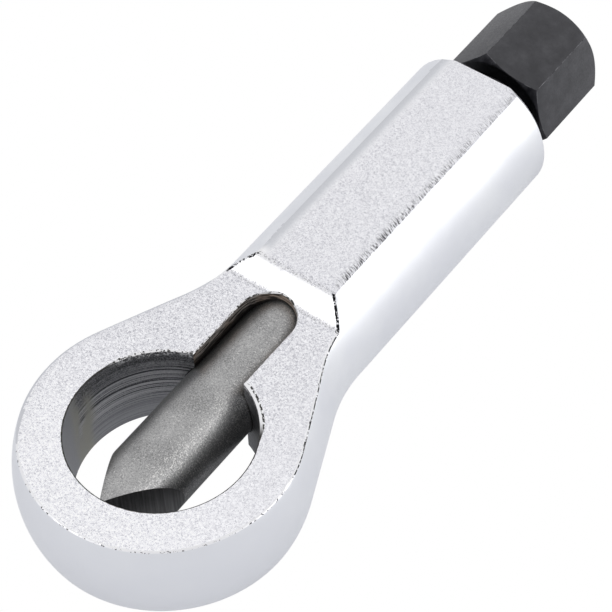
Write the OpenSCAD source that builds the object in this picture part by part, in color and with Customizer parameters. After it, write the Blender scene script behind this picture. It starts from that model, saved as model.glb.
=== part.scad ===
// Nut splitter: a forged eye goes over a seized nut, and a screw presses a chisel through the nut.
// The tool lies along +Y, eye first and hex head last, and rests on the lower flat of its shank.
// The origin is under the middle of the tool, on the surface that it lies on.

/* [Eye] */
// Diameter of the eye that goes over the nut
eye_d = 27.5; // [22:0.5:32]
// Diameter of the eye's rounded outer wall, at mid height
eye_od = 43; // [40:0.5:50]
// Thickness of the eye, face to face
eye_t = 15; // [13.6:0.2:18]

/* [Neck] */
// Angle at which the sides of the neck run in from the eye, to the tool's axis
neck_angle = 23; // [20:1:28]
// Radius of the hollow that runs each side of the neck out into the shank
neck_r = 25; // [15:1:40]
// Distance from the eye's centre to the foot of the ramp on each face
ramp_y = 28.1; // [26:0.1:34]
// Length of the ramp along the tool, from the eye's face up to the shank's flat
ramp_l = 3.2; // [2:0.1:6]
// Width of the slot over the chisel
slot_w = 9; // [6:0.5:11]
// Distance from the eye's centre to the centre of the slot's round end
slot_y = 24.2; // [20:0.1:28]

/* [Shank] */
// Diameter of the shank's round sides
shank_d = 24.8; // [23:0.5:28]
// Distance across the shank's two flats
shank_t = 20.8; // [19:0.2:22.4]
// Distance from the eye's centre to the end of the shank
shank_end = 79.6; // [72:0.2:100]
// Chamfer round the end of the shank
shank_chamfer = 0.8; // [0.2:0.1:1.6]

/* [Chisel] */
// Diameter of the chisel
chisel_d = 12.2; // [10:0.1:12.6]
// Length of the chisel from its cutting edge to its tail
chisel_l = 47; // [42:0.5:55]
// Angle between the two ground faces of the cutting edge
edge_angle = 60; // [45:1:75]
// Width of the blunt land on the cutting edge
edge_land = 0.3; // [0.1:0.1:0.8]
// Gap from the cutting edge to the far wall of the eye, with the chisel run in
edge_gap = 0.25; // [0.1:0.05:2]
// Chamfer round the chisel's tail
tail_chamfer = 0.8; // [0.2:0.1:1.5]

/* [Thrust ball] */
// Diameter of the ball between the chisel and the screw
ball_d = 8; // [6:0.5:9]
// Depth to which the ball sits in each of its two cups
cup_depth = 2.5; // [1:0.1:2.9]

/* [Pressure screw] */
// Outer diameter of the screw's thread
thread_d = 14; // [13.2:0.1:15]
// Diameter of the plain point below the thread
point_d = 11; // [10:0.1:12]
// Length of the plain point
point_l = 2.5; // [1.5:0.1:5]
// Chamfer at both ends of the thread
thread_chamfer = 1; // [0.4:0.1:1.2]
// Diameter of the relief groove under the head
groove_d = 11.8; // [10:0.1:12.4]
// Length of the relief groove under the head
groove_l = 2.5; // [1:0.1:3]
// Gap from the end of the shank to the head, with the chisel run in
head_gap = 4; // [1:0.1:6]
// Width of the hexagonal head across its flats
hex_af = 17; // [16.5:0.5:19]
// Length of the head
hex_l = 16; // [12:0.1:24]
// Angle of the chamfer that rounds off the head's corners on the side of the shank
hex_chamfer_angle = 30; // [15:1:35]
// Angle of the chamfer that rounds off the head's corners at its outer end
hex_end_angle = 42; // [15:1:50]
// Turn of the head's upper flat about the tool's axis, away from level
hex_turn = 16; // [0:1:59]

/* [Fits] */
// Clearance of the chisel in its bore, on the radius
chisel_clear = 0.15; // [0.05:0.01:0.3]
// Clearance of the screw in its bore, on the radius
thread_clear = 0.05; // [0.02:0.01:0.1]
// Clearance of the ball in its cups
ball_clear = 0.05; // [0.02:0.01:0.1]
// Depth of the threaded bore beyond the screw's point
bore_runout = 3; // [1:0.5:6]
// Chamfer at the mouth of the threaded bore
mouth_chamfer = 0.7; // [0.2:0.1:1.2]

/* [Hidden] */
$fn = 96;
// How far a cutting shape stands out past the surface that it cuts
over = 1;
eye_r = eye_od / 2;
shank_r = shank_d / 2;
chisel_r = chisel_d / 2;
thread_r = thread_d / 2;
ball_r = ball_d / 2;
// Where the straight side of the neck leaves the eye, and where it enters the hollow
neck_start = eye_r * [cos(neck_angle), sin(neck_angle)];
hollow_x = shank_r + neck_r;
neck_run = (neck_start.x - hollow_x + neck_r * cos(neck_angle)) / sin(neck_angle);
neck_stop = neck_start + neck_run * [-sin(neck_angle), cos(neck_angle)];
hollow_y = neck_stop.y + neck_r * sin(neck_angle);
// Places along the tool, from the eye's centre
edge_y = edge_gap - eye_d / 2;
tail_y = edge_y + chisel_l;
ball_y = tail_y + ball_r - cup_depth;
point_y = ball_y + ball_r - cup_depth;
head_y = shank_end + head_gap;
thread_y = point_y + point_l;
thread_l = head_y - groove_l - thread_y;
bore_y = point_y - bore_runout;
// Place of the eye's centre from the origin
eye_y = (eye_r - head_y - hex_l) / 2;
axis_z = shank_t / 2;

// Sets a shape made round the eye's centre, along +Y, in its place
module on_tool() {
    translate([0, eye_y, axis_z]) children();
}

// Turns a half profile of radius and distance along the tool into a solid round the tool's axis
module turned() {
    rotate([-90, 0, 0]) rotate_extrude() children();
}

// Straight round bar along the tool, between two distances from the eye's centre
module bar(d, from, to) {
    translate([0, from, 0]) rotate([-90, 0, 0]) cylinder(d = d, h = to - from);
}

// Round bar with a chamfer at each end
module chamfered_bar(d, from, to, start_chamfer, end_chamfer) {
    r = d / 2;
    turned() polygon([
        [0, from],
        [r - start_chamfer, from],
        [r, from + start_chamfer],
        [r, to - end_chamfer],
        [r - end_chamfer, to],
        [0, to]
    ]);
}

// Half outline of the forging from above: ball of the eye, tapering neck, hollow and shank
module blank_outline() {
    intersection() {
        circle(r = eye_r);
        translate([0, -eye_r]) square([eye_r, eye_od]);
    }
    difference() {
        polygon([
            [0, 0],
            neck_start,
            neck_stop,
            [shank_r, hollow_y],
            [shank_r, shank_end - shank_chamfer],
            [shank_r - shank_chamfer, shank_end],
            [0, shank_end]
        ]);
        translate([hollow_x, hollow_y]) circle(r = neck_r);
    }
}

// The faces of the forging from the side: level over the eye, up a ramp, then level along the shank
module pressed_faces() {
    upper = [
        [-eye_r - over, eye_t / 2],
        [ramp_y, eye_t / 2],
        [ramp_y + ramp_l, shank_t / 2],
        [shank_end + over, shank_t / 2]
    ];
    lower = [for (i = [len(upper) - 1:-1:0]) [upper[i].x, -upper[i].y]];
    rotate([90, 0, 90]) translate([0, 0, -eye_r - over]) {
        linear_extrude(eye_od + 2 * over) polygon(concat(upper, lower));
    }
}

// Slot that opens the chisel's bore to both faces, from the eye to its round end
module chisel_slot() {
    depth = shank_t + 2 * over;
    translate([0, 0, -depth / 2]) linear_extrude(depth) {
        translate([-slot_w / 2, 0]) square([slot_w, slot_y]);
        translate([0, slot_y]) circle(d = slot_w);
    }
}

// Bore of the chisel and the wider bore of the screw, with its chamfered mouth
module long_bores() {
    thread_bore_r = thread_r + thread_clear;
    mouth_r = thread_bore_r + mouth_chamfer;
    bar(chisel_d + 2 * chisel_clear, 0, bore_y + over);
    bar(2 * thread_bore_r, bore_y, shank_end + over);
    turned() polygon([
        [0, shank_end - mouth_r],
        [mouth_r + over, shank_end + over],
        [0, shank_end + over]
    ]);
}

module frame() {
    color([0.80, 0.81, 0.82]) on_tool() difference() {
        intersection() {
            turned() blank_outline();
            pressed_faces();
        }
        translate([0, 0, -eye_t]) cylinder(d = eye_d, h = 2 * eye_t);
        chisel_slot();
        long_bores();
    }
}

// What is ground away on one side of the cutting edge
module edge_grind() {
    half_land = edge_land / 2;
    side = chisel_d;
    grind_l = (side - half_land) / tan(edge_angle / 2);
    translate([0, 0, -chisel_d]) linear_extrude(2 * chisel_d) polygon([
        [half_land, edge_y - over],
        [side, edge_y - over],
        [side, edge_y + grind_l],
        [half_land, edge_y]
    ]);
}

// Round cup for the ball
module ball_cup() {
    translate([0, ball_y, 0]) sphere(r = ball_r + ball_clear);
}

module chisel() {
    color([0.45, 0.45, 0.44]) on_tool() difference() {
        chamfered_bar(chisel_d, edge_y, tail_y, 0, tail_chamfer);
        edge_grind();
        mirror([1, 0, 0]) edge_grind();
        ball_cup();
    }
}

module thrust_ball() {
    color([0.70, 0.70, 0.72]) on_tool() translate([0, ball_y, 0]) sphere(r = ball_r);
}

// Hexagonal head, its corners rounded off by a cone at each end
module hex_head() {
    flat_r = hex_af / 2;
    corner_r = flat_r / cos(30);
    reach = corner_r + over;
    near_rise = (reach - flat_r) * tan(hex_chamfer_angle);
    end_rise = (reach - flat_r) * tan(hex_end_angle);
    intersection() {
        translate([0, head_y, 0]) rotate([-90, hex_turn, 0]) cylinder(r = corner_r, h = hex_l, $fn = 6);
        turned() polygon([
            [0, head_y],
            [flat_r, head_y],
            [reach, head_y + near_rise],
            [reach, head_y + hex_l - end_rise],
            [flat_r, head_y + hex_l],
            [0, head_y + hex_l]
        ]);
    }
}

module pressure_screw() {
    color([0.20, 0.20, 0.21]) on_tool() difference() {
        union() {
            bar(point_d, point_y, thread_y + thread_chamfer);
            chamfered_bar(thread_d, thread_y, thread_y + thread_l, thread_chamfer, thread_chamfer);
            bar(groove_d, head_y - groove_l - thread_chamfer, head_y + over);
            hex_head();
        }
        ball_cup();
    }
}

frame();
chisel();
thrust_ball();
pressure_screw();
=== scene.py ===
import math

import bmesh
import bpy
from bmesh.types import BMEdge, BMFace, BMVert
from mathutils import Matrix, Vector, kdtree, noise


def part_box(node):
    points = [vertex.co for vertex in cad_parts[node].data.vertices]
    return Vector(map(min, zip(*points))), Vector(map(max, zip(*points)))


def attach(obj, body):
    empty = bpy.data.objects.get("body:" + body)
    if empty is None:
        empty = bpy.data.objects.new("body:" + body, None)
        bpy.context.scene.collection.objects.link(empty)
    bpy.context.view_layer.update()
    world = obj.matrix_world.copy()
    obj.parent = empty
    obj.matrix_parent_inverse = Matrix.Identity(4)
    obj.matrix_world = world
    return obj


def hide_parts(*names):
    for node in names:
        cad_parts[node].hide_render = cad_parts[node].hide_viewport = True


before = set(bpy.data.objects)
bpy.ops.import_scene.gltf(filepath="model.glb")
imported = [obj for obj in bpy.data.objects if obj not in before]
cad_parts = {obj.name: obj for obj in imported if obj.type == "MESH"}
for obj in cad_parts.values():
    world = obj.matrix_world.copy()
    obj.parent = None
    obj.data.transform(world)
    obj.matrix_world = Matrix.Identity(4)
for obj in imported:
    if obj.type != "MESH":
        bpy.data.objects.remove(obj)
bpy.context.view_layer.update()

mm = 0.001
weldGap = 1e-4  # millimetres
print("frame loaded:", sorted(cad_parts))

# The forging is drawn about the eye's centre, +Y towards the head, in millimetres
forgingLow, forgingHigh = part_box("frame")
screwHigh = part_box("pressure_screw")[1]
eyeRadius = 21.5
eyeCentre = Vector((0, forgingLow.y + eyeRadius * mm, (forgingLow.z + forgingHigh.z) / 2))
toTool = Matrix.Translation(eyeCentre) @ Matrix.Scale(mm, 4)
shankEnd, headEnd = ((high.y - eyeCentre.y) / mm for high in (forgingHigh, screwHigh))


# Node helpers

def addNode(tree, kind, values=None, **settings):
    node = tree.nodes.new(kind)
    for name, value in settings.items():
        setattr(node, name, value)
    for name, value in (values or {}).items():
        node.inputs[name].default_value = value
    return node


def feed(tree, socket, value):  # a number, a colour or the output of another node
    if isinstance(value, (int, float)):
        socket.default_value = value
    elif isinstance(value, tuple):
        socket.default_value = (*value, 1)
    else:
        tree.links.new(value, socket)


def calc(tree, operation, first, second, clamp=False):
    node = addNode(tree, "ShaderNodeMath", operation=operation, use_clamp=clamp)
    feed(tree, node.inputs[0], first)
    feed(tree, node.inputs[1], second)
    return node.outputs[0]


def times(tree, first, *others):
    for other in others:
        first = calc(tree, "MULTIPLY", first, other)
    return first


def oneMinus(tree, value):
    return calc(tree, "SUBTRACT", 1.0, value)


def distance(tree, first, second):  # from the line on which both coordinates are 0
    squares = [calc(tree, "POWER", axis, 2) for axis in (first, second)]
    return calc(tree, "SQRT", calc(tree, "ADD", *squares), 0)


def fade(tree, value, low, high):  # 0 below low, 1 above high, smooth between
    node = addNode(tree, "ShaderNodeMapRange", {"From Min": low, "From Max": high},
                   interpolation_type="SMOOTHSTEP")
    tree.links.new(value, node.inputs["Value"])
    return node.outputs["Result"]


def grain(tree, grainSize, detail=2.0, rough=0.5, stretch=(1, 1, 1), twist=0.0, turn=0.0):
    # noise whose lumps are about grainSize millimetres, longer along an axis by its stretch;
    # the axes are turned about Z first
    coords = addNode(tree, "ShaderNodeTexCoord")
    scale = tuple(mm * grainSize * s for s in stretch)
    mapping = addNode(tree, "ShaderNodeMapping", {"Scale": scale, "Rotation": (0, 0, math.radians(turn))},
                      vector_type="TEXTURE")
    node = addNode(tree, "ShaderNodeTexNoise",
                   {"Scale": 1.0, "Detail": detail, "Roughness": rough, "Distortion": twist})
    tree.links.new(coords.outputs["Object"], mapping.inputs["Vector"])
    tree.links.new(mapping.outputs["Vector"], node.inputs["Vector"])
    return node.outputs["Fac"]


def ramp(tree, value, stops):
    node = addNode(tree, "ShaderNodeValToRGB")
    marks = node.color_ramp.elements
    while len(marks) < len(stops):
        marks.new(0.5)
    for mark, (place, colour) in zip(marks, stops):
        mark.position = place
        mark.color = (*colour, 1)
    tree.links.new(value, node.inputs["Fac"])
    return node.outputs["Color"]


def blendColour(tree, share, first, second, kind="MIX"):
    node = addNode(tree, "ShaderNodeMix", data_type="RGBA", blend_type=kind)
    for place, value in ((0, share), (6, first), (7, second)):  # the sockets for colours
        feed(tree, node.inputs[place], value)
    return node.outputs[2]


def roughBetween(tree, value, atLow, atHigh, low=0.3, high=0.7):
    return ramp(tree, value, [(low, (atLow,) * 3), (high, (atHigh,) * 3)])


def metal(name, viewColour, metallic=1.0):
    mat = bpy.data.materials.new(name)
    mat.use_nodes = True
    mat.diffuse_color = (*viewColour, 1)
    mat.node_tree.nodes["Principled BSDF"].inputs["Metallic"].default_value = metallic
    return mat, mat.node_tree


def dress(mat, colour, rough, height=None, depth=0.0, strength=0.0):  # wires up the shader, with a bump
    tree = mat.node_tree
    shader = tree.nodes["Principled BSDF"]
    tree.links.new(colour, shader.inputs["Base Color"])
    tree.links.new(rough, shader.inputs["Roughness"])
    if height is not None:
        bump = addNode(tree, "ShaderNodeBump", {"Strength": strength, "Distance": depth * mm})
        tree.links.new(height, bump.inputs["Height"])
        tree.links.new(bump.outputs["Normal"], shader.inputs["Normal"])
    return mat


def axisOf(tree, axis):  # one object coordinate, in millimetres from the eye's centre
    coords = addNode(tree, "ShaderNodeTexCoord")
    split = addNode(tree, "ShaderNodeSeparateXYZ")
    tree.links.new(coords.outputs["Object"], split.inputs[0])
    shifted = calc(tree, "SUBTRACT", split.outputs[axis], eyeCentre["XYZ".index(axis)])
    return times(tree, shifted, 1 / mm)


# Mesh helpers

def clamped(value):
    return min(max(value, 0), 1)


def pick(result, kind, key="geom"):  # the verts, edges or faces of an operator's result
    return [g for g in result[key] if isinstance(g, kind)]


def allOf(bm):
    return bm.verts[:] + bm.edges[:] + bm.faces[:]


def extrudeOn(bm, edges, slot):  # a line or ring goes on: its new verts, and the line that they make
    result = bmesh.ops.extrude_edge_only(bm, edges=edges)
    made = set(pick(result, BMVert))
    for f in pick(result, BMFace):
        f.material_index = slot
    return made, [e for e in pick(result, BMEdge) if set(e.verts) <= made]


def fill(bm, edges, slot):  # closes a ring with a face
    faces = bmesh.ops.contextual_create(bm, geom=edges)["faces"]
    for f in faces:
        f.material_index = slot
    return faces


def roundOff(bm, edges, width, segments=2, clamp=True):
    return bmesh.ops.bevel(bm, geom=edges, offset=width, offset_type="OFFSET", segments=segments,
                           profile=0.5, affect="EDGES", material=-1, clamp_overlap=clamp)["faces"]


def weld(bm, shortest=1e-5):
    bmesh.ops.remove_doubles(bm, verts=bm.verts[:], dist=weldGap)
    bmesh.ops.dissolve_degenerate(bm, edges=bm.edges[:], dist=shortest)


def faceOutwards(bm):
    bmesh.ops.recalc_face_normals(bm, faces=bm.faces[:])


def drawTo(bm, vert, target, cuts=0):  # a straight stroke from vert to target, in even steps
    start = vert.co.copy()
    for k in range(1, cuts + 2):
        vert = bmesh.ops.extrude_vert_indiv(bm, verts=[vert])["verts"][0]
        vert.co = start.lerp(Vector(target), k / (cuts + 1))
    return vert


def drawArc(bm, vert, centre, degrees, steps):  # an arc from vert about centre
    result = bmesh.ops.spin(bm, geom=[vert], cent=centre, axis=(0, 0, 1), angle=math.radians(degrees),
                            steps=steps, use_duplicate=False)
    return pick(result, BMVert, "geom_last")[0]


def turnAboutAxis(bm, steps):  # the drawn half profile goes once round the tool's axis
    bmesh.ops.spin(bm, geom=bm.verts[:] + bm.edges[:], cent=(0, 0, 0), axis=(0, 1, 0),
                   angle=math.tau, steps=steps, use_merge=True, use_duplicate=False)
    weld(bm)
    faceOutwards(bm)


def toObject(bm, name, materials):
    mesh = bpy.data.meshes.new(name)
    bm.to_mesh(mesh)
    bm.free()
    for mat in materials:
        mesh.materials.append(mat)
    obj = bpy.data.objects.new(name, mesh)
    bpy.context.scene.collection.objects.link(obj)
    return obj


def combine(obj, others, operation):  # booleans, applied one after another
    for other in others:
        step = obj.modifiers.new("cut", "BOOLEAN")
        step.operation = operation
        step.solver = "EXACT"
        step.object = other
        bpy.context.view_layer.update()
        shown = obj.evaluated_get(bpy.context.evaluated_depsgraph_get())
        made = bpy.data.meshes.new_from_object(shown)
        obj.modifiers.clear()
        old = obj.data
        made.name = old.name
        obj.data = made
        bpy.data.meshes.remove(old)
        bpy.data.meshes.remove(other.data)


def settle(obj, body, node, sharpSlots=(), sharpAngle=32):
    # moves the drawn shape onto the tool, shades it, and lets it stand for its node
    bm = bmesh.new()
    bm.from_mesh(obj.data)
    weld(bm, weldGap)
    faceOutwards(bm)
    bmesh.ops.transform(bm, matrix=toTool, verts=bm.verts[:])
    loose = sum(1 for e in bm.edges if not e.is_manifold)
    bm.to_mesh(obj.data)
    bm.free()
    mesh = obj.data
    mesh.shade_smooth()
    mesh.set_sharp_from_angle(angle=math.radians(sharpAngle))
    bm = bmesh.new()
    bm.from_mesh(mesh)
    for edge in bm.edges:
        kinds = {f.material_index for f in edge.link_faces}
        if len(kinds) == 2 and kinds & set(sharpSlots):
            edge.smooth = False
    bm.to_mesh(mesh)
    bm.free()
    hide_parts(node)
    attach(obj, body)
    print(obj.name, len(mesh.polygons), "faces, open edges:", loose)


# Finishes of the forging

# a pair is two places, in millimetres, between which a look fades in or out
pressedLook = {
    "grain": 0.34, "depth": 0.05, "rough": 0.42, "dark": (0.52, 0.52, 0.56), "mid": (0.77, 0.77, 0.80),
    "light": (0.94, 0.94, 0.96), "tick": (0.06, 0.06, 0.065), "smooth": (0.89, 0.89, 0.90),
    "paintedFrontLight": (0.12, 0.12, 0.12), "roll": (0.64, 0.65, 0.68), "right": (0.84, 0.84, 0.87),
    "forwards": (-16, 18), "towardsEnd": (50, 75), "rightwards": (8, 17), "fewerTicks": (42, 74),
}
satinLook = {"colour": (0.80, 0.81, 0.83), "shade": (0.75, 0.76, 0.79), "eye": (0.71, 0.72, 0.75),
             "rough": 0.40, "grain": 1.6, "offEye": (-4, 14)}
# the rolled edges round the left of the eye, the neck and the shank are painted darker than the walls: a
# painted shade
rollShadeLook = {**satinLook, "colour": (0.70, 0.71, 0.74), "shade": (0.64, 0.65, 0.68), "eye": (0.62, 0.63, 0.66),
            "rough": 0.46}
rampLook = {"colour": (0.90, 0.90, 0.91), "shade": (0.85, 0.85, 0.87), "rough": 0.34}
burrLook = {  # shares: how much of each edge is torn, right and left
    "dark": (0.018, 0.018, 0.02), "light": (0.84, 0.84, 0.86), "grain": 0.45,
    "shares": {"tornShadedRampEdge": (0.72, 0.58), "tornNeckEdge": (0.62, 0.12), "tornEyeEdge": (0.27, 0.25)},
}
eyeBoreLook = {
    "dark": (0.055, 0.055, 0.06), "light": (0.60, 0.60, 0.615), "plain": (0.36, 0.365, 0.385),
    "smear": (0.40, 0.395, 0.35), "shaded": (0.10, 0.10, 0.104), "fleck": (0.86, 0.86, 0.87), "lineGap": 0.5,
    "ringsFrom": (-3.7, -1.7), "ringsUp": (-4.5, -0.5), "smearFrom": (-5.4, -3.0), "smearTo": (-0.5, 1.8),
    "shadedFrom": (4, 8), "tornUp": (5.2, 7.4), "flecksUp": (7.0, 7.5), "flecksFrom": (4, 7),
}
slotLook = {"dark": (0.03, 0.027, 0.025), "light": (0.64, 0.59, 0.55), "brown": (0.48, 0.385, 0.32),
            "litUp": (5.6, 7.2), "offChiselShadow": (0.35, 0.55)}
rimLook = {"dark": (0.07, 0.068, 0.065), "light": (0.88, 0.88, 0.89), "slotFrom": (13.1, 13.5),
           "rightFrom": (2.5, 4.2), "backFrom": (4, 6.5), "burrFrom": (7, 9.5), "dotsFrom": (0.36, 0.44)}
deepBoreLook = {"dark": (0.03, 0.03, 0.03), "light": (0.12, 0.115, 0.11)}


def pressedFinish(look, plainFrom, plainTo, flatHalf):
    mat, tree = metal("pressedFace", look["mid"])
    across = axisOf(tree, "X")
    along = axisOf(tree, "Y")
    wrinkles = grain(tree, look["grain"], twist=2.0)
    fine = grain(tree, look["grain"] * 0.8, detail=1.0, twist=1.5)
    speckle = ramp(tree, fine, [(0.34, look["dark"]), (0.48, look["mid"]), (0.62, look["light"])])
    # the eye's face is painted lighter towards the front: a painted light
    towardsFront = fade(tree, times(tree, along, -1), *look["forwards"])
    speckle = blendColour(tree, towardsFront, speckle, look["paintedFrontLight"], "ADD")
    pastRamp = times(tree, fade(tree, along, plainTo, plainTo + 2), 0.3)
    towardsEnd = times(tree, fade(tree, along, *look["towardsEnd"]), 0.2)
    speckle = blendColour(tree, calc(tree, "ADD", pastRamp, towardsEnd), speckle, look["mid"])
    # a lighter, plainer tone towards the right of the eye's face: a painted light
    onRight = times(tree, fade(tree, across, *look["rightwards"]), 0.3)
    speckle = blendColour(tree, onRight, speckle, look["right"])
    # the grain fades out unevenly beside the plain part of the ramp, and along the shank's left edge, where
    # the plain colour is painted darker as a painted shade
    below = calc(tree, "SUBTRACT", plainFrom, along)
    above = calc(tree, "SUBTRACT", along, plainTo)
    beside = calc(tree, "MAXIMUM", below, above)
    uneven = times(tree, calc(tree, "SUBTRACT", grain(tree, 0.7), 0.5), 1.8)
    grained = fade(tree, calc(tree, "ADD", beside, uneven), 0.1, 1.0)
    fromLeft = fade(tree, across, 0.4 - flatHalf, 2.4 - flatHalf)
    onEye = fade(tree, below, -2.0, 0.0)
    grained = times(tree, grained, calc(tree, "MAXIMUM", fromLeft, onEye))
    offRoll = calc(tree, "MAXIMUM", fromLeft, fade(tree, below, -5.0, -3.0))
    smooth = blendColour(tree, oneMinus(tree, offRoll), look["smooth"], look["roll"])
    colour = blendColour(tree, grained, smooth, speckle)
    # short dark ticks across the right-hand edge of the shank's flat, and specks beside the ramp
    ticks = grain(tree, 0.2, detail=1.0, stretch=(5.5, 1.0, 5.5), turn=-22)
    patches = grain(tree, 3.2, detail=1.0)
    nearEdge = fade(tree, across, flatHalf - 1.5, flatHalf - 0.1)
    fewer = oneMinus(tree, times(tree, fade(tree, along, *look["fewerTicks"]), 0.55))
    onShank = times(tree, fade(tree, along, plainTo + 1.2, plainTo + 3.7), fewer)
    level = calc(tree, "ADD", ticks, times(tree, patches, 0.25))
    level = calc(tree, "ADD", level, times(tree, nearEdge, 0.06))
    tickShare = times(tree, nearEdge, onShank, fade(tree, level, 0.64, 0.84))
    speck = fade(tree, grain(tree, 0.2, detail=1.0), 0.56, 0.62)
    fromLine = calc(tree, "ABSOLUTE", calc(tree, "SUBTRACT", beside, 0.8), 0)
    speckShare = times(tree, speck, calc(tree, "LESS_THAN", fromLine, 0.35), 0.45)
    colour = blendColour(tree, calc(tree, "MAXIMUM", tickShare, speckShare), colour, look["tick"])
    rough = roughBetween(tree, fine, look["rough"] + 0.14, look["rough"] - 0.1)
    height = times(tree, wrinkles, grained)
    return dress(mat, colour, rough, height, look["depth"], 0.9)


def satinFinish(look, name):
    mat, tree = metal(name, look["colour"])
    cloud = grain(tree, look["grain"] * 5)
    fine = grain(tree, look["grain"] * 0.3, detail=3.0)
    colour = ramp(tree, cloud, [(0.35, look["shade"]), (0.65, look["colour"])])
    # the walls are painted darker round the eye: a painted shade
    onEye = oneMinus(tree, fade(tree, axisOf(tree, "Y"), *look["offEye"]))
    colour = blendColour(tree, times(tree, onEye, 0.8), colour, look["eye"])
    rough = roughBetween(tree, cloud, look["rough"] + 0.05, look["rough"] - 0.04)
    return dress(mat, colour, rough, fine, 0.006, 0.5)


def rampFinish(look):
    mat, tree = metal("smoothRamp", look["colour"])
    cloud = grain(tree, 1.1, detail=3.0)
    colour = ramp(tree, cloud, [(0.3, look["shade"]), (0.6, look["colour"])])
    rough = roughBetween(tree, cloud, look["rough"] + 0.06, look["rough"] - 0.06)
    return dress(mat, colour, rough, cloud, 0.01, 0.5)


def burrFinish(look, name):  # torn plating on an edge: dark nicks in bright metal
    # the dark nicks are torn plating, and beside the ramp they are also a painted shadow in the sunken torn
    # edge
    mat, tree = metal(name, look["light"])
    nicks = grain(tree, look["grain"], rough=0.7)
    rightEdge, leftEdge = (0.72 - 0.44 * share for share in look["shares"][name])  # levels of the noise
    onRight = fade(tree, axisOf(tree, "X"), -0.5, 0.5)
    edge = calc(tree, "ADD", times(tree, onRight, rightEdge - leftEdge), leftEdge)
    share = fade(tree, calc(tree, "SUBTRACT", nicks, edge), -0.03, 0.03)
    colour = blendColour(tree, share, look["light"], look["dark"])
    rough = roughBetween(tree, share, 0.36, 0.8, 0.0, 1.0)
    return dress(mat, colour, rough, nicks, 0.05, 0.7)


def eyeBoreFinish(look):
    # rings left by the drill round the back, torn under the upper rim, worn plain in front
    mat, tree = metal("boredEye", look["light"])
    across = axisOf(tree, "X")
    along = axisOf(tree, "Y")
    up = axisOf(tree, "Z")
    lines = grain(tree, look["lineGap"], rough=0.6, stretch=(60, 60, 0.5))
    fine = grain(tree, 0.22, rough=0.6)
    mix = calc(tree, "ADD", times(tree, lines, 0.85), times(tree, fine, 0.15))
    ringed = ramp(tree, mix, [(0.42, look["dark"]), (0.50, look["plain"]), (0.59, look["light"])])
    behind = fade(tree, along, *look["ringsFrom"])
    higher = calc(tree, "ADD", times(tree, fade(tree, up, *look["ringsUp"]), 0.75), 0.25)
    lined = times(tree, behind, higher)
    colour = blendColour(tree, lined, look["plain"], ringed)
    onLeft = oneMinus(tree, fade(tree, across, -1, 1))
    leftFront = calc(tree, "SUBTRACT", onLeft, fade(tree, along, *look["smearTo"]), clamp=True)
    smear = times(tree, fade(tree, along, *look["smearFrom"]), leftFront)
    cloud = fade(tree, grain(tree, 2.2, stretch=(1, 1, 3)), 0.20, 0.60)
    colour = blendColour(tree, times(tree, smear, cloud), colour, look["smear"])
    shaded = times(tree, fade(tree, across, *look["shadedFrom"]), 0.8)
    colour = blendColour(tree, shaded, colour, look["shaded"])
    uneven = times(tree, grain(tree, 0.8), 3.0)
    torn = fade(tree, calc(tree, "ADD", up, uneven), *look["tornUp"])
    tornColour = ramp(tree, fine, [(0.40, look["dark"]), (0.68, look["plain"])])
    colour = blendColour(tree, times(tree, torn, behind, 0.8), colour, tornColour)
    flecks = fade(tree, grain(tree, 0.42), 0.50, 0.55)
    atRim = fade(tree, calc(tree, "ADD", up, times(tree, uneven, 0.4)), *look["flecksUp"])
    fleckShare = times(tree, flecks, atRim, fade(tree, along, *look["flecksFrom"]))
    colour = blendColour(tree, fleckShare, colour, look["fleck"])
    rough = roughBetween(tree, fine, 0.5, 0.36)
    bumps = times(tree, mix, lined)
    return dress(mat, colour, rough, bumps, 0.09, 0.8)


def slotFinish(look, bore):  # streaks along the slot, browner towards the faces, black next to the chisel
    # the wall is painted black low in the slot and close to the chisel: a painted shadow
    mat, tree = metal("sawnSlot", look["light"])
    lines = grain(tree, 0.3, detail=3.0, rough=0.65, stretch=(9, 9, 0.7))
    patch = grain(tree, 4.0, detail=1.0)
    light = blendColour(tree, fade(tree, patch, 0.4, 0.6), look["light"], look["brown"])
    streaks = blendColour(tree, fade(tree, lines, 0.40, 0.58), look["dark"], light)
    height = calc(tree, "ABSOLUTE", axisOf(tree, "Z"), 0)
    upper = fade(tree, calc(tree, "ADD", height, times(tree, lines, 1.4)), *look["litUp"])
    away = calc(tree, "SUBTRACT", distance(tree, axisOf(tree, "X"), axisOf(tree, "Z")), bore)
    upper = times(tree, upper, fade(tree, away, *look["offChiselShadow"]))
    colour = blendColour(tree, upper, look["dark"], streaks)
    rough = roughBetween(tree, lines, 0.62, 0.4)
    return dress(mat, colour, rough, lines, 0.08, 0.8)


def rimFinish(look, bore):
    # a thin dark line in front, torn flecks at the back left, a bright burr with dark dots right of the slot
    mat, tree = metal("raggedRim", look["light"])
    across = axisOf(tree, "X")
    along = axisOf(tree, "Y")
    nicks = grain(tree, 0.4, detail=3.0, rough=0.65)
    dots = fade(tree, grain(tree, 0.42, detail=1.0), 0.40, 0.47)
    onSlot = fade(tree, along, *look["slotFrom"])
    onRight = fade(tree, across, *look["rightFrom"])
    backLeft = calc(tree, "SUBTRACT", fade(tree, along, *look["backFrom"]), onRight, clamp=True)
    fewer = oneMinus(tree, times(tree, onSlot, 0.35))
    flecks = times(tree, fade(tree, nicks, 0.43, 0.50), backLeft, fewer)
    away = calc(tree, "SUBTRACT", distance(tree, across, along), bore)
    dotted = times(tree, fade(tree, away, *look["dotsFrom"]), dots, oneMinus(tree, onSlot))
    corner = times(tree, onRight, fade(tree, along, *look["burrFrom"]))
    burr = calc(tree, "SUBTRACT", corner, dotted, clamp=True)
    share = calc(tree, "MAXIMUM", flecks, burr)
    colour = blendColour(tree, share, look["dark"], look["light"])
    rough = roughBetween(tree, share, 0.7, 0.34, 0.0, 1.0)
    return dress(mat, colour, rough, nicks, 0.04, 0.6)


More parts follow.
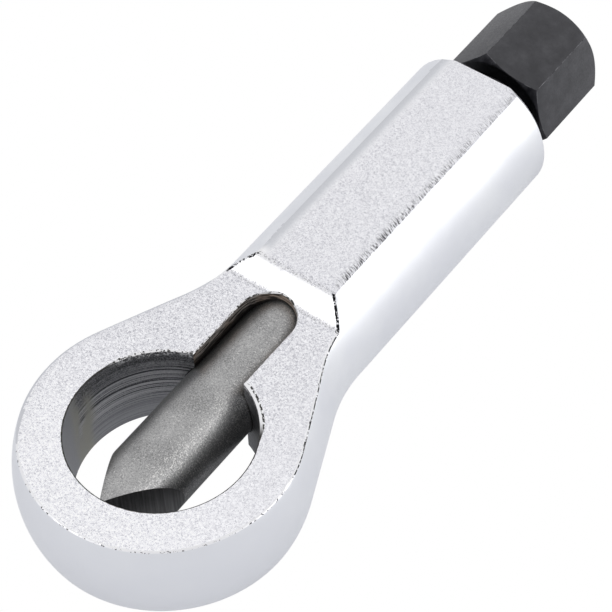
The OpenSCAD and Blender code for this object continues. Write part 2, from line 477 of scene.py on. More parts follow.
def deepBoreFinish(look):
    # the inside of the bores is painted near black: a painted shade
    mat, tree = metal("shadedBore", (0.08, 0.08, 0.08))
    lines = grain(tree, 0.4, stretch=(8, 1, 8))
    colour = ramp(tree, lines, [(0.3, look["dark"]), (0.7, look["light"])])
    rough = roughBetween(tree, lines, 0.6, 0.42)
    return dress(mat, colour, rough, lines, 0.04, 0.7)


# Forging: eye, neck and flatted shank from one outline that rises from the mid plane

forging = {
    "eyeHalf": 7.5, "neckAngle": 23.0, "wrapAngle": 40.0, "hollowRadius": 25.0, "shankRadius": 12.4,
    "shankHalf": 10.4, "endChamfer": 0.8, "step": 0.3, "finerBy": 3, "wallLevels": 9,
    "rampFoot": 28.1, "rampTop": 31.3, "footBlend": 0.35, "topBlend": 0.8, "plainFrom": 28.9, "plainTo": 30.7,
    "rampRows": (-2, 5), "rowLeast": 4, "rampCuts": 24, "edgeStrip": 0.9,  # rows cut across, from the foot
    "rampWave": 0.4, "waveRate": 0.45, "waveHalf": 6.3, "waveFade": 1.5,
    "edgeRound": 0.24, "edgeMargin": 0.2, "neckFrom": 4, "rollWidth": 4.5, "rollDepth": 2.0,
    "rolled": ((-14, 8, 25.5, 5), (33.5, 5, shankEnd - 1.2, 2.5)),  # from, rise, to and fall along the tool
    "rollLeast": 0.08, "edgeUp": 0.86, "rollUp": 0.96,  # how far a normal points up
    "tearInset": 0.06, "tearWander": 0.34, "tearSink": 0.16, "tearNoise": ((2.1, 0.6), (5.3, 0.4)),
    "eyeBore": 13.75, "boreRim": (0.22, 0.10), "boreRagged": 0.07, "boreSteps": 300,
    "cornerBurr": 0.62, "burrArc": (28, 76), "burrFade": 10,  # degrees round the eye
    "backTear": 0.45, "tearArc": (104, 163), "tearFade": 12,
    "slotHalf": 4.5, "slotEnd": 24.2, "slotRim": (0.17, 0.14), "slotRagged": 0.14, "slotCuts": 55,
    "slotEndSteps": 40, "cutReach": 6.0, "overshoot": 0.02,
    "chiselBore": 6.25, "screwBore": 7.05, "screwBoreFrom": 33.5, "mouth": 0.7, "pastEnd": 1.0,
    "turnSteps": 120,
}
(pressedSlot, wallSlot, rampSlot, burrRampSlot, burrNeckSlot, burrEyeSlot, eyeBoreSlot, slotSlot, deepSlot,
 rimSlot, rollSlot, shankEdgeMark) = range(12)  # the last one only marks the shank's edge while it is shaped
facingSlots = {pressedSlot, rampSlot}


def faceHeight(y):  # height of the pressed face above the mid plane, the ramp's ends rounded off
    s = forging
    slope = (s["shankHalf"] - s["eyeHalf"]) / (s["rampTop"] - s["rampFoot"])
    risen = []
    for end, blend in ((s["rampFoot"], s["footBlend"]), (s["rampTop"], s["topBlend"])):
        past = min(max(y - end, -blend), blend)
        risen.append((past + blend) ** 2 / (4 * blend) + max(y - end - blend, 0))
    return s["eyeHalf"] + slope * (risen[0] - risen[1])


def wavyHeight(x, y, side):  # the same for a place inside the edges, where the ramp's lines wander
    s = forging
    inside = clamped((s["waveHalf"] - abs(x)) / s["waveFade"])
    wave = noise.noise(Vector((x * s["waveRate"], side * 5.0, 3.0)))
    return faceHeight(y + s["rampWave"] * inside * wave)


def onForging(home, share):
    # a point of the mid outline, risen along the turned wall by a share of the way to the face
    z = share * faceHeight(home.y)
    angle = math.radians(forging["neckAngle"])
    if home.y > eyeRadius * math.sin(angle) - 1e-4:
        return Vector((math.sqrt(home.x ** 2 - z ** 2), home.y, z))
    ring = math.sqrt(eyeRadius ** 2 - z ** 2)
    wrap = math.radians(forging["wrapAngle"])
    turn = clamped((math.atan2(home.y, home.x) + wrap) / (angle + wrap))
    keep = turn * turn * (3 - 2 * turn)
    y = home.y * (ring / eyeRadius * (1 - keep) + keep)
    return Vector((math.sqrt(max(ring ** 2 - y ** 2, 0)), y, z))


def stepsFor(length):
    return max(1, round(length / forging["step"]))


def drawHalfOutline(bm):  # right-hand outline of the forging at its mid plane
    s = forging
    angle = math.radians(s["neckAngle"])
    leave = eyeRadius * Vector((math.cos(angle), math.sin(angle), 0))
    hollowX = s["shankRadius"] + s["hollowRadius"]
    run = (leave.x - hollowX + s["hollowRadius"] * math.cos(angle)) / math.sin(angle)
    enter = leave + run * Vector((-math.sin(angle), math.cos(angle), 0))
    hollow = Vector((hollowX, enter.y + s["hollowRadius"] * math.sin(angle), 0))
    toFoot = s["neckAngle"] - math.degrees(math.asin((hollow.y - s["rampFoot"]) / s["hollowRadius"]))
    v = bm.verts.new((0, -eyeRadius, 0))
    sweep = 90 + s["neckAngle"]
    v = drawArc(bm, v, (0, 0, 0), sweep, stepsFor(math.radians(sweep) * eyeRadius))
    v = drawTo(bm, v, enter, stepsFor(run) - 1)
    v = drawArc(bm, v, hollow, -toFoot, stepsFor(math.radians(toFoot) * s["hollowRadius"]))
    rest = s["neckAngle"] - toFoot
    v = drawArc(bm, v, hollow, -rest, stepsFor(math.radians(rest) * s["hollowRadius"]) + s["finerBy"])
    v = drawTo(bm, v, (s["shankRadius"], s["rampTop"], 0), 1)
    straight = shankEnd - s["endChamfer"] - s["rampTop"]
    v = drawTo(bm, v, (s["shankRadius"], shankEnd - s["endChamfer"], 0), stepsFor(straight) - 1)
    drawTo(bm, v, (s["shankRadius"] - s["endChamfer"], shankEnd, 0))


def rolledShare(place):  # how far an edge is rolled over: round the left of the eye, the neck and the shank
    if place.x > 0:
        return 0
    return max(clamped((place.y - start) / rise) * clamped((end - place.y) / fall)
               for start, rise, end, fall in forging["rolled"])


def rollEdges(bandFaces, corners):
    # widens the rounded edge about the corner that it replaced, most towards the face
    s = forging
    for vert in {v for f in bandFaces for v in f.verts}:
        share = rolledShare(vert.co)
        if share:
            corner = corners.find(vert.co)[0]
            gap = vert.co - corner
            inward = Vector((-corner.x, -min(corner.y, 0), 0))
            wide = s["rollWidth"] if gap.dot(inward) > 0 else s["rollDepth"]
            grown = Vector((1 + share * wide, 1 + share * wide, 1 + share * s["rollDepth"]))
            vert.co = corner + gap * grown


def tearEdges(bandFaces):
    # the rounded edge is torn: its middle sinks and its inner line wanders, most beside the ramp
    s = forging
    amount = {burrRampSlot: 1.0, shankEdgeMark: 0.5, burrNeckSlot: 0.42, burrEyeSlot: 0.28}
    for vert in {v for f in bandFaces for v in f.verts}:
        slots = {f.material_index for f in vert.link_faces}
        torn = max((amount[k] for k in slots if k in amount), default=0) * (1 - rolledShare(vert.co))
        side = -1 if vert.co.x < 0 else 1
        wander = sum(noise.noise(vert.co * rate) * part for rate, part in s["tearNoise"])
        if slots & facingSlots:
            inward = Vector((-vert.co.x, -min(vert.co.y, 0), 0))
            vert.co += inward.normalized() * (s["tearInset"] + s["tearWander"] * wander) * torn
        elif wallSlot not in slots:
            down = -1 if vert.co.z > 0 else 1
            vert.co += Vector((-0.5 * side, 0, down)) * s["tearSink"] * torn * max(0.2 + wander, 0)


def raiseWall(bm):  # the turned wall, from the mid outline up to the edge of the pressed face
    s = forging
    home = bm.verts.layers.float_vector.new("home")
    drawHalfOutline(bm)
    for v in bm.verts:
        v[home] = v.co
    edges = bm.edges[:]
    for level in range(1, s["wallLevels"] + 1):
        raised, edges = extrudeOn(bm, edges, wallSlot)
        for v in raised:
            v.co = onForging(Vector(v[home]), level / s["wallLevels"])
    return edges


def coverFace(bm, edges):  # the pressed face, in to the middle line or to the eye's centre, finer on the ramp
    s = forging
    result = bmesh.ops.extrude_edge_only(bm, edges=edges)
    for v in pick(result, BMVert):
        v.co.x = 0
        v.co.y = max(v.co.y, 0)
    for f in pick(result, BMFace):
        y = f.calc_center_bounds().y
        f.material_index = rampSlot if s["plainFrom"] < y < s["plainTo"] else pressedSlot
    low, high = s["rampRows"]
    across = [e for e in bm.edges if abs(e.verts[0].co.y - e.verts[1].co.y) < 1e-5
              and e.calc_length() > s["rowLeast"] and low < e.verts[0].co.y - s["rampFoot"] < high]
    rows = [(e.verts[0].co.y, max(v.co.x for v in e.verts)) for e in across]
    result = bmesh.ops.subdivide_edges(bm, edges=across, cuts=s["rampCuts"], use_grid_fill=True)
    spread = (s["rampCuts"] + 1) / s["rampCuts"]
    for v in pick(result, BMVert, "geom_inner"):  # a strip beside the edge stays free for the tears
        half = min(rows, key=lambda row: abs(row[0] - v.co.y))[1]
        v.co.x *= spread * (half - s["edgeStrip"]) / half
    weld(bm)


def mirrorQuarter(bm):  # the quarter goes over to the lower side and to the left, and its end is closed
    for axis in "ZX":
        bmesh.ops.mirror(bm, geom=allOf(bm), axis=axis, merge_dist=weldGap)
        bmesh.ops.remove_doubles(bm, verts=bm.verts[:], dist=weldGap)
    end = fill(bm, [e for e in bm.edges if e.is_boundary], wallSlot)
    faceOutwards(bm)
    return end


def shapeEdges(bm, end):  # the edges of the faces are rounded, torn and rolled, but not those of the end
    s = forging
    rims = [e for e in bm.edges if len({f.material_index in facingSlots for f in e.link_faces}) == 2
            and not set(e.link_faces) & set(end)]
    corners = kdtree.KDTree(2 * len(rims))
    for count, place in enumerate(v.co.copy() for e in rims for v in e.verts):
        corners.insert(place, count)
    corners.balance()
    band = roundOff(bm, rims, s["edgeRound"], segments=4, clamp=False)
    for f in band:
        y = f.calc_center_bounds().y
        if s["rampFoot"] - s["edgeMargin"] < y < s["rampTop"] + s["edgeMargin"]:
            f.material_index = burrRampSlot
        elif y >= s["rampTop"]:
            f.material_index = shankEdgeMark
        else:
            f.material_index = burrNeckSlot if y > s["neckFrom"] else burrEyeSlot
    tearEdges(band)
    rollEdges(band, corners)
    bm.normal_update()
    for f in band:  # the dark nicks keep to the outer half of the edge, except beside the ramp
        up = abs(f.normal.z)
        if f.material_index == shankEdgeMark:
            f.material_index = pressedSlot if up > s["edgeUp"] else wallSlot
        elif rolledShare(f.calc_center_bounds()) > s["rollLeast"]:
            f.material_index = pressedSlot if up > s["rollUp"] else rollSlot
        elif f.material_index != burrRampSlot and up > s["edgeUp"]:
            f.material_index = rampSlot


def buildForgingBody():
    bm = bmesh.new()
    coverFace(bm, raiseWall(bm))
    end = mirrorQuarter(bm)
    for v in bm.verts:
        if {f.material_index for f in v.link_faces} <= facingSlots:
            side = 1 if v.co.z > 0 else -1
            v.co.z = side * wavyHeight(v.co.x, v.co.y, side)
    shapeEdges(bm, end)
    return bm


def brokenRim(place):  # how much wider the eye's rim is broken right of the slot and at the back left
    s = forging
    around = math.degrees(math.atan2(place.y, place.x))
    burrFrom, burrTo = s["burrArc"]
    tearFrom, tearTo = s["tearArc"]
    onRight = clamped((around - burrFrom) / s["burrFade"]) if around < burrTo else 0
    onLeft = clamped((tearTo - around) / s["tearFade"]) if around > tearFrom else 0
    ragged = max(0.5 + 1.1 * noise.noise(place * 1.9), 0)
    return s["cornerBurr"] * onRight + s["backTear"] * onLeft * ragged


def flaredPrism(bm, rim, wall, roughness, broken=None):
    # cutter: an upright wall on the drawn outline, flared by the rim's width where it leaves the faces
    s = forging
    width, depth = rim
    home = bm.verts.layers.float_vector.new("home")
    away = bm.verts.layers.float_vector.new("away")
    verts = bm.verts[:]
    edges = bm.edges[:]
    for v in verts:
        v[home] = v.co
        near = [e.other_vert(v).co for e in v.link_edges]
        along = (near[1] - near[0]).normalized()
        v[away] = Vector((along.y, -along.x, 0))
    centre = sum((v.co for v in verts), Vector()) / len(verts)
    turned = sum(1 if Vector(v[away]).dot(v.co - centre) > 0 else -1 for v in verts)
    flip = 1 if turned > 0 else -1
    reach = s["eyeHalf"] + s["cutReach"]
    upwards = [-depth, s["overshoot"], reach]
    levels = [(-1, proud) for proud in reversed(upwards)] + [(1, proud) for proud in upwards]
    slots = (rimSlot, rimSlot, wall, rimSlot, rimSlot)
    for count, (side, proud) in enumerate(levels):
        if count:
            verts, edges = extrudeOn(bm, edges, slots[count - 1])
        for v in verts:
            start = Vector(v[home])
            flare = 0
            if proud != -depth:
                wander = noise.noise(start * 1.7 + Vector((0, 0, 9 + (side > 0)))) * roughness
                flare = width + wander + (broken(start) if broken else 0)
            v.co = start + Vector(v[away]) * flip * flare
            v.co.z = side * (reach if proud == reach else wavyHeight(start.x, start.y, side) + proud)
    for upper in (True, False):
        fill(bm, [e for e in bm.edges if e.is_boundary and (e.verts[0].co.z > 0) == upper], rimSlot)
    faceOutwards(bm)


def buildEyeCutter():
    s = forging
    bm = bmesh.new()
    bmesh.ops.create_circle(bm, cap_ends=False, radius=s["eyeBore"], segments=s["boreSteps"])
    flaredPrism(bm, s["boreRim"], eyeBoreSlot, s["boreRagged"], brokenRim)
    return bm


def buildSlotCutter():
    s = forging
    bm = bmesh.new()
    first = bm.verts.new((s["slotHalf"], 0, 0))
    v = drawTo(bm, first, (s["slotHalf"], s["slotEnd"], 0), s["slotCuts"])
    v = drawArc(bm, v, (0, s["slotEnd"], 0), 180, s["slotEndSteps"])
    v = drawTo(bm, v, (-s["slotHalf"], 0, 0), s["slotCuts"])
    bm.edges.new((v, first))
    flaredPrism(bm, s["slotRim"], slotSlot, s["slotRagged"])
    return bm


def buildBoreCutter():
    s = forging
    bm = bmesh.new()
    past = shankEnd + s["pastEnd"]
    v = bm.verts.new((0, 0, 0))
    for point in ((s["chiselBore"], 0, 0), (s["chiselBore"], s["screwBoreFrom"], 0),
                  (s["screwBore"], s["screwBoreFrom"], 0), (s["screwBore"], shankEnd - s["mouth"], 0),
                  (s["screwBore"] + s["mouth"] + s["pastEnd"], past, 0), (0, past, 0)):
        v = drawTo(bm, v, point)
    turnAboutAxis(bm, s["turnSteps"])
    for f in bm.faces:
        f.material_index = deepSlot
    return bm


flatHalf = math.sqrt(forging["shankRadius"] ** 2 - forging["shankHalf"] ** 2)
forgingFinishes = [
    pressedFinish(pressedLook, forging["plainFrom"], forging["plainTo"], flatHalf),
    satinFinish(satinLook, "satinWall"),
    rampFinish(rampLook),
    *(burrFinish(burrLook, name) for name in burrLook["shares"]),
    eyeBoreFinish(eyeBoreLook),
    slotFinish(slotLook, forging["chiselBore"]),
    deepBoreFinish(deepBoreLook),
    rimFinish(rimLook, forging["eyeBore"]),
    satinFinish(rollShadeLook, "rolledEdgeShade"),
]
forgingPiece = toObject(buildForgingBody(), "forgedFrame", forgingFinishes)
cutters = [toObject(build(), "cutter", forgingFinishes)
           for build in (buildEyeCutter, buildSlotCutter, buildBoreCutter)]
combine(forgingPiece, cutters, "DIFFERENCE")
settle(forgingPiece, "frame", "frame", (pressedSlot, rampSlot, eyeBoreSlot, slotSlot))


# Chisel: a turned bar with two ground facets and a cup for the ball

chiselBar = {"radius": 6.1, "edge": -13.5, "tail": 33.5, "tailChamfer": 0.8, "edgeAngle": 60.0, "land": 0.3,
             "ballAt": 35.0, "cupRadius": 4.05, "edgeRound": 0.10, "turnSteps": 128, "barCuts": 12,
             "cupSteps": 10}
chiselLook = {"dark": (0.21, 0.21, 0.208), "mid": (0.36, 0.36, 0.36), "light": (0.52, 0.515, 0.51),
              "rough": 0.42, "grain": 0.18, "spark": (0.84, 0.83, 0.81), "wearAndSheen": (0.5, 3.8),
              "flank": (0.11, 0.11, 0.11), "flankShadeTop": 3.4, "flankShadeDrop": 1.4,
              "groundDark": (0.11, 0.11, 0.11), "groundLight": (0.18, 0.18, 0.18)}
groundSlot = 1  # slot 0 is the turned surface


def chiselFinish(look):
    mat, tree = metal("hardenedBar", look["mid"])
    speck = grain(tree, look["grain"], detail=3.0, rough=0.65)
    cloud = grain(tree, 5.0)
    mix = calc(tree, "ADD", times(tree, speck, 0.75), times(tree, cloud, 0.25))
    colour = ramp(tree, mix, [(0.36, look["dark"]), (0.5, look["mid"]), (0.66, look["light"])])
    # the bright specks are scratches, and they grow denser towards the right shoulder as a painted highlight
    wearAndSheen = times(tree, fade(tree, axisOf(tree, "X"), *look["wearAndSheen"]), 0.10)
    sparks = fade(tree, calc(tree, "ADD", grain(tree, 0.2, detail=1.0), wearAndSheen), 0.64, 0.74)
    colour = blendColour(tree, times(tree, sparks, 0.6), colour, look["spark"])
    # the chisel's sides are painted darker below the top: a painted shade
    drop = times(tree, fade(tree, axisOf(tree, "X"), -1, 1), look["flankShadeDrop"])
    height = calc(tree, "ADD", axisOf(tree, "Z"), drop)  # the dark flank starts lower on the right
    flank = oneMinus(tree, fade(tree, height, 0.0, look["flankShadeTop"]))
    colour = blendColour(tree, times(tree, flank, 0.75), colour, look["flank"])
    rough = roughBetween(tree, speck, look["rough"] + 0.12, look["rough"] - 0.06)
    return dress(mat, colour, rough, speck, 0.02, 0.6)


def groundFinish(look):  # grinding lines that run up the facet
    # the facets are painted darker than the turned bar: a painted shade
    mat, tree = metal("groundFacet", look["mid"])
    lines = grain(tree, 0.34, stretch=(1, 1, 30))
    colour = ramp(tree, lines, [(0.36, look["groundDark"]), (0.64, look["groundLight"])])
    rough = roughBetween(tree, lines, 0.5, 0.36)
    return dress(mat, colour, rough, lines, 0.03, 0.7)


def buildChisel():
    s = chiselBar
    bm = bmesh.new()
    v = bm.verts.new((0, s["edge"], 0))
    v = drawTo(bm, v, (s["radius"], s["edge"], 0))
    v = drawTo(bm, v, (s["radius"], s["tail"] - s["tailChamfer"], 0), s["barCuts"])
    v = drawTo(bm, v, (s["radius"] - s["tailChamfer"], s["tail"], 0))
    lipDrop = s["ballAt"] - s["tail"]
    lip = math.sqrt(s["cupRadius"] ** 2 - lipDrop ** 2)
    v = drawTo(bm, v, (lip, s["tail"], 0))
    toBottom = 90 - math.degrees(math.asin(lipDrop / s["cupRadius"]))
    drawArc(bm, v, (0, s["ballAt"], 0), -toBottom, s["cupSteps"])
    turnAboutAxis(bm, s["turnSteps"])
    half = math.radians(s["edgeAngle"] / 2)
    for side in (1, -1):
        facing = Vector((side * math.cos(half), -math.sin(half), 0))
        cut = bmesh.ops.bisect_plane(bm, geom=allOf(bm), dist=1e-5, plane_no=facing, clear_outer=True,
                                     plane_co=(side * s["land"] / 2, s["edge"], 0))
        fill(bm, pick(cut, BMEdge, "geom_cut"), groundSlot)
    faceOutwards(bm)
    corners = [e for e in bm.edges if groundSlot in {f.material_index for f in e.link_faces}]
    roundOff(bm, corners, s["edgeRound"])
    return bm


chiselPiece = toObject(buildChisel(), "wedgeChisel", [chiselFinish(chiselLook), groundFinish(chiselLook)])
settle(chiselPiece, "chisel", "chisel", (groundSlot,))


# Pressure screw: threaded stem and hexagonal head

screw = {
    "threadRadius": 7.0, "rootRadius": 6.12, "pitch": 1.5, "threadFrom": 39.0, "threadTo": 81.1,
    "threadChamfer": 1.0, "stepsPerTurn": 48, "turnsBefore": 1.6, "spareTurns": 3,
    "point": 36.5, "pointRadius": 5.5, "pointChamfer": 0.4, "cupAt": 35.0, "cupRadius": 4.05, "cupSteps": 6,
    "grooveRadius": 5.9, "stemInHead": 2.0, "headFrom": 83.6, "acrossFlats": 17.0, "chamferFrom": 8.4,
    "nearAngle": 30.0, "endAngle": 42.0, "headTurn": 16.0, "headSteps": 120,
    "cornerRound": 0.13, "cornerAngle": 20.0, "wornFrom": 0.3,
}
oxideLook = {"dark": (0.043, 0.043, 0.047), "mid": (0.053, 0.053, 0.058), "light": (0.070, 0.070, 0.076),
             "rough": 0.46, "metallic": 0.55}
wornLook = {"dark": (0.05, 0.05, 0.054), "light": (0.16, 0.16, 0.168)}
threadLook = {"dark": (0.010, 0.010, 0.012), "light": (0.042, 0.042, 0.046)}
(oxideSlot, wornSlot, threadSlot) = range(3)


def oxideFinish(look):
    mat, tree = metal("blackOxide", look["mid"], look["metallic"])
    cloud = grain(tree, 2.6, detail=4.0, rough=0.6)
    fine = grain(tree, 0.3)
    colour = ramp(tree, cloud, [(0.32, look["dark"]), (0.5, look["mid"]), (0.72, look["light"])])
    rough = roughBetween(tree, fine, look["rough"] + 0.08, look["rough"] - 0.08)
    return dress(mat, colour, rough, fine, 0.012, 0.5)


def wornFinish(look):
    mat, tree = metal("wornCorner", (0.2, 0.2, 0.2))
    nicks = grain(tree, 0.7, detail=3.0)
    colour = ramp(tree, nicks, [(0.38, look["dark"]), (0.70, look["light"])])
    rough = roughBetween(tree, nicks, 0.5, 0.36)
    return dress(mat, colour, rough)


def threadFinish(look):
    # darker than the oxide: a painted shade on the thread, the point and under the head
    mat, tree = metal("shadedThread", (0.05, 0.05, 0.05))
    cloud = grain(tree, 1.8, detail=3.0)
    colour = ramp(tree, cloud, [(0.3, look["dark"]), (0.7, look["light"])])
    rough = roughBetween(tree, cloud, 0.46, 0.3)
    return dress(mat, colour, rough, cloud, 0.01, 0.4)


def putAt(vert, radius, y):  # the vert keeps its direction from the axis
    flat = Vector((vert.co.x, 0, vert.co.z)).normalized() * radius
    vert.co = Vector((flat.x, y, flat.z))


def ringTo(bm, edges, radius, y, slot):  # the open ring goes on to a new radius and place
    made, ring = extrudeOn(bm, edges, slot)
    for v in made:
        putAt(v, radius, y)
    return ring


def windThread(bm):  # the profile of one turn, wound up and cut off at both ends
    s = screw
    crest = s["pitch"] / 8
    rootFlat = s["pitch"] / 4
    flank = (s["pitch"] - crest - rootFlat) / 2
    turns = math.ceil((s["threadTo"] - s["threadFrom"]) / s["pitch"]) + s["spareTurns"]
    start = s["threadFrom"] - s["turnsBefore"] * s["pitch"]
    v = bm.verts.new((s["rootRadius"], start, 0))
    for radius, length, cuts in (("rootRadius", rootFlat, 0), ("threadRadius", flank, 2),
                                 ("threadRadius", crest, 0), ("rootRadius", flank, 2)):
        start += length
        v = drawTo(bm, v, (s[radius], start, 0), cuts)
    bmesh.ops.spin(bm, geom=bm.verts[:] + bm.edges[:], cent=(0, 0, 0), axis=(0, 1, 0),
                   dvec=(0, s["pitch"] / s["stepsPerTurn"], 0), angle=math.tau * turns,
                   steps=turns * s["stepsPerTurn"], use_duplicate=False)
    bmesh.ops.remove_doubles(bm, verts=bm.verts[:], dist=2e-3)
    for place, facing in ((s["threadFrom"], -1), (s["threadTo"], 1)):
        bmesh.ops.bisect_plane(bm, geom=allOf(bm), dist=1e-5, plane_co=(0, place, 0),
                               plane_no=(0, facing, 0), clear_outer=True)
    least = s["threadRadius"] - s["threadChamfer"]
    for v in bm.verts:  # both ends of the thread run out on a chamfer
        inFrom = min(v.co.y - s["threadFrom"], s["threadTo"] - v.co.y)
        radius = math.hypot(v.co.x, v.co.z)
        factor = min(radius, least + max(inFrom, 0)) / radius
        v.co.x *= factor
        v.co.z *= factor
    for f in bm.faces:
        f.material_index = threadSlot


def buildStem():
    s = screw
    bm = bmesh.new()
    windThread(bm)
    middle = (s["threadFrom"] + s["threadTo"]) / 2
    lowRing = [e for e in bm.edges if e.is_boundary and e.verts[0].co.y < middle]
    highRing = [e for e in bm.edges if e.is_boundary and e.verts[0].co.y > middle]
    profile = [(s["pointRadius"], s["threadFrom"]), (s["pointRadius"], s["point"] + s["pointChamfer"]),
               (s["pointRadius"] - s["pointChamfer"], s["point"])]
    lip = math.acos((s["point"] - s["cupAt"]) / s["cupRadius"])
    for k in range(s["cupSteps"]):  # the cup for the ball
        angle = lip * (1 - k / s["cupSteps"])
        profile.append((s["cupRadius"] * math.sin(angle), s["cupAt"] + s["cupRadius"] * math.cos(angle)))
    for radius, y in profile:
        lowRing = ringTo(bm, lowRing, radius, y, threadSlot)
    fill(bm, lowRing, threadSlot)
    highRing = ringTo(bm, highRing, s["grooveRadius"], s["threadTo"], threadSlot)
    highRing = ringTo(bm, highRing, s["grooveRadius"], s["headFrom"] + s["stemInHead"], oxideSlot)
    fill(bm, highRing, oxideSlot)
    faceOutwards(bm)
    return bm


def hexRadius(x, z):  # distance from the axis to the head's side, in the direction of x and z
    s = screw
    around = math.degrees(math.atan2(x, z)) - s["headTurn"]
    off = (around + 30) % 60 - 30  # degrees from the middle of the nearest flat
    return s["acrossFlats"] / 2 / math.cos(math.radians(off))


def buildHead():
    s = screw
    bm = bmesh.new()
    circle = bmesh.ops.create_circle(bm, cap_ends=False, radius=s["chamferFrom"], segments=s["headSteps"])
    for degrees, axis in ((-90, "X"), (s["headTurn"], "Y")):
        bmesh.ops.rotate(bm, verts=circle["verts"], cent=(0, 0, 0),
                         matrix=Matrix.Rotation(math.radians(degrees), 3, axis))
    bmesh.ops.translate(bm, verts=circle["verts"], vec=(0, s["headFrom"], 0))
    ring = bm.edges[:]
    # the head's underside takes the thread's darker finish: a painted shade under the head
    fill(bm, ring, threadSlot)
    for outerEnd in (False, True):
        slope = math.tan(math.radians(s["endAngle" if outerEnd else "nearAngle"]))
        made, ring = extrudeOn(bm, ring, oxideSlot if outerEnd else threadSlot)
        for v in made:
            radius = hexRadius(v.co.x, v.co.z)
            rise = (radius - s["chamferFrom"]) * slope
            putAt(v, radius, headEnd - rise if outerEnd else s["headFrom"] + rise)
    ring = ringTo(bm, ring, s["chamferFrom"], headEnd, oxideSlot)
    fill(bm, ring, oxideSlot)
    faceOutwards(bm)
    corners = [e for e in bm.edges if e.calc_face_angle(0) > math.radians(s["cornerAngle"])]
    for f in roundOff(bm, corners, s["cornerRound"]):
        if abs(f.calc_center_bounds().y - s["headFrom"]) > s["wornFrom"]:
            f.material_index = wornSlot
    return bm


screwFinishes = [oxideFinish(oxideLook), wornFinish(wornLook), threadFinish(threadLook)]
screwPiece = toObject(buildHead(), "pressureScrew", screwFinishes)
combine(screwPiece, [toObject(buildStem(), "stem", screwFinishes)], "UNION")
settle(screwPiece, "screw", "pressure_screw")


# Thrust ball: the CAD solid stays, in polished bearing steel

ballLook = {"shade": (0.50, 0.50, 0.51), "colour": (0.64, 0.64, 0.66)}


def ballFinish(look):
    mat, tree = metal("bearingBall", (0.6, 0.6, 0.62))
    cloud = grain(tree, 1.5, detail=3.0)
    colour = ramp(tree, cloud, [(0.35, look["shade"]), (0.65, look["colour"])])
    rough = roughBetween(tree, cloud, 0.2, 0.1)
    return dress(mat, colour, rough)


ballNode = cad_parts["thrust_ball"]
ballNode.data.materials.clear()
ballNode.data.materials.append(ballFinish(ballLook))
print("ball finished")


# Floor, light and camera

studio = {"floorColour": (0.69, 0.695, 0.71), "floorFill": 0.30, "floorGlow": 1.0, "floorSize": 6.0,
          "skyTop": (0.92, 0.92, 0.93), "skySide": (0.96, 0.965, 0.98), "skyPower": 0.92}
softboxes = {  # place, size and brightness as seen in a mirror
    "rampBox": ((-0.39, -0.73, 0.56), (0.55, 0.55), 1.3),
    "flatBox": ((-0.30, 0.52, 0.78), (0.60, 0.45), 0.35),
    "sideBox": ((0.80, 0.46, 0.34), (0.85, 0.85), 1.0),
}
camera = {"azimuth": 38.6093, "elevation": 51.5122, "roll": -2.7523, "aimX": -0.2799, "aimY": 33.8977,
          "distance": 364.9193, "focalPixels": 2467.5423, "framePixels": 612, "sensor": 36.0,
          "clip": (0.01, 50)}


def buildFloor():  # white paper to the camera, and a softer grey in the metal's reflections
    bm = bmesh.new()
    bmesh.ops.create_grid(bm, x_segments=8, y_segments=8, size=studio["floorSize"] / 2)
    mat, tree = metal("paleFloor", studio["floorColour"], 0.0)
    shader = tree.nodes["Principled BSDF"]
    colour = (*studio["floorColour"], 1)
    values = {"Base Color": colour, "Roughness": 0.9, "Specular IOR Level": 0.1, "Emission Color": colour,
              "Emission Strength": studio["floorFill"]}
    for name, value in values.items():
        shader.inputs[name].default_value = value
    glow = addNode(tree, "ShaderNodeEmission", {"Color": (1, 1, 1, 1), "Strength": studio["floorGlow"]})
    path = addNode(tree, "ShaderNodeLightPath")
    mixed = addNode(tree, "ShaderNodeMixShader")
    tree.links.new(path.outputs["Is Camera Ray"], mixed.inputs["Fac"])
    tree.links.new(shader.outputs["BSDF"], mixed.inputs[1])
    tree.links.new(glow.outputs["Emission"], mixed.inputs[2])
    tree.links.new(mixed.outputs["Shader"], tree.nodes["Material Output"].inputs["Surface"])
    toObject(bm, "floor", [mat])


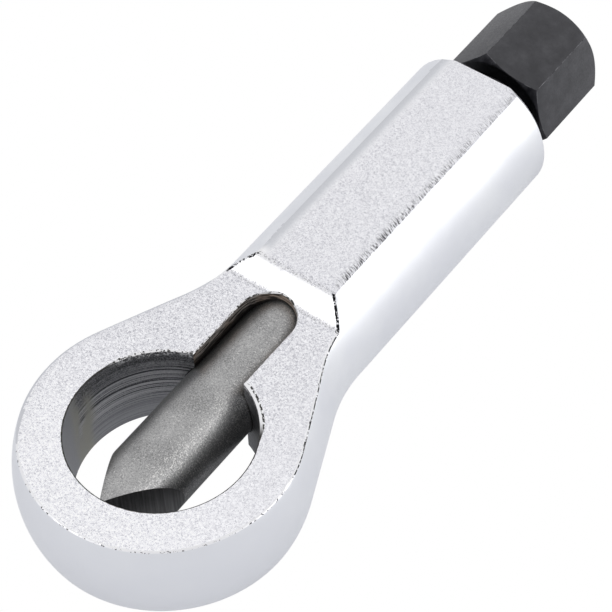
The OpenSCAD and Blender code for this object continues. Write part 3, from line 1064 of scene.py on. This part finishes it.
def buildSky():
    world = bpy.data.worlds.new("studioSky")
    bpy.context.scene.world = world
    world.use_nodes = True
    tree = world.node_tree
    back = tree.nodes["Background"]
    coords = addNode(tree, "ShaderNodeTexCoord")
    split = addNode(tree, "ShaderNodeSeparateXYZ")
    tree.links.new(coords.outputs["Generated"], split.inputs[0])
    colour = ramp(tree, split.outputs["Z"], [(0.0, studio["skySide"]), (0.6, studio["skyTop"])])
    tree.links.new(colour, back.inputs["Color"])
    back.inputs["Strength"].default_value = studio["skyPower"]


def addSoftbox(name, place, size, brightness):
    data = bpy.data.lights.new(name, "AREA")
    data.shape = "RECTANGLE"
    data.size, data.size_y = size
    data.energy = brightness * math.pi * size[0] * size[1]
    light = bpy.data.objects.new(name, data)
    bpy.context.scene.collection.objects.link(light)
    light.location = place
    light.rotation_mode = "QUATERNION"
    light.rotation_quaternion = (-Vector(place)).to_track_quat("-Z", "Y")


def buildCamera():
    c = camera
    azimuth, elevation, roll = (math.radians(c[k]) for k in ("azimuth", "elevation", "roll"))
    back = Vector((math.sin(azimuth) * math.cos(elevation), -math.cos(azimuth) * math.cos(elevation),
                   math.sin(elevation)))
    right = (-back).cross(Vector((0, 0, 1))).normalized()
    up = right.cross(-back)
    tiltedRight = right * math.cos(roll) + up * math.sin(roll)
    tiltedUp = up * math.cos(roll) - right * math.sin(roll)
    aim = eyeCentre + Vector((c["aimX"], c["aimY"], 0)) * mm
    data = bpy.data.cameras.new("photoCamera")
    data.sensor_width = c["sensor"]
    data.lens = c["focalPixels"] / c["framePixels"] * c["sensor"]
    data.clip_start, data.clip_end = c["clip"]
    obj = bpy.data.objects.new("photoCamera", data)
    bpy.context.scene.collection.objects.link(obj)
    obj.matrix_world = Matrix.Translation(aim + back * c["distance"] * mm) @ Matrix(
        (tiltedRight, tiltedUp, back)).transposed().to_4x4()
    bpy.context.scene.camera = obj


buildFloor()
buildSky()
for boxName, boxLook in softboxes.items():
    addSoftbox(boxName, *boxLook)
buildCamera()
view = bpy.context.scene.view_settings
view.view_transform = "Standard"
view.look = "None"
print("studio ready")
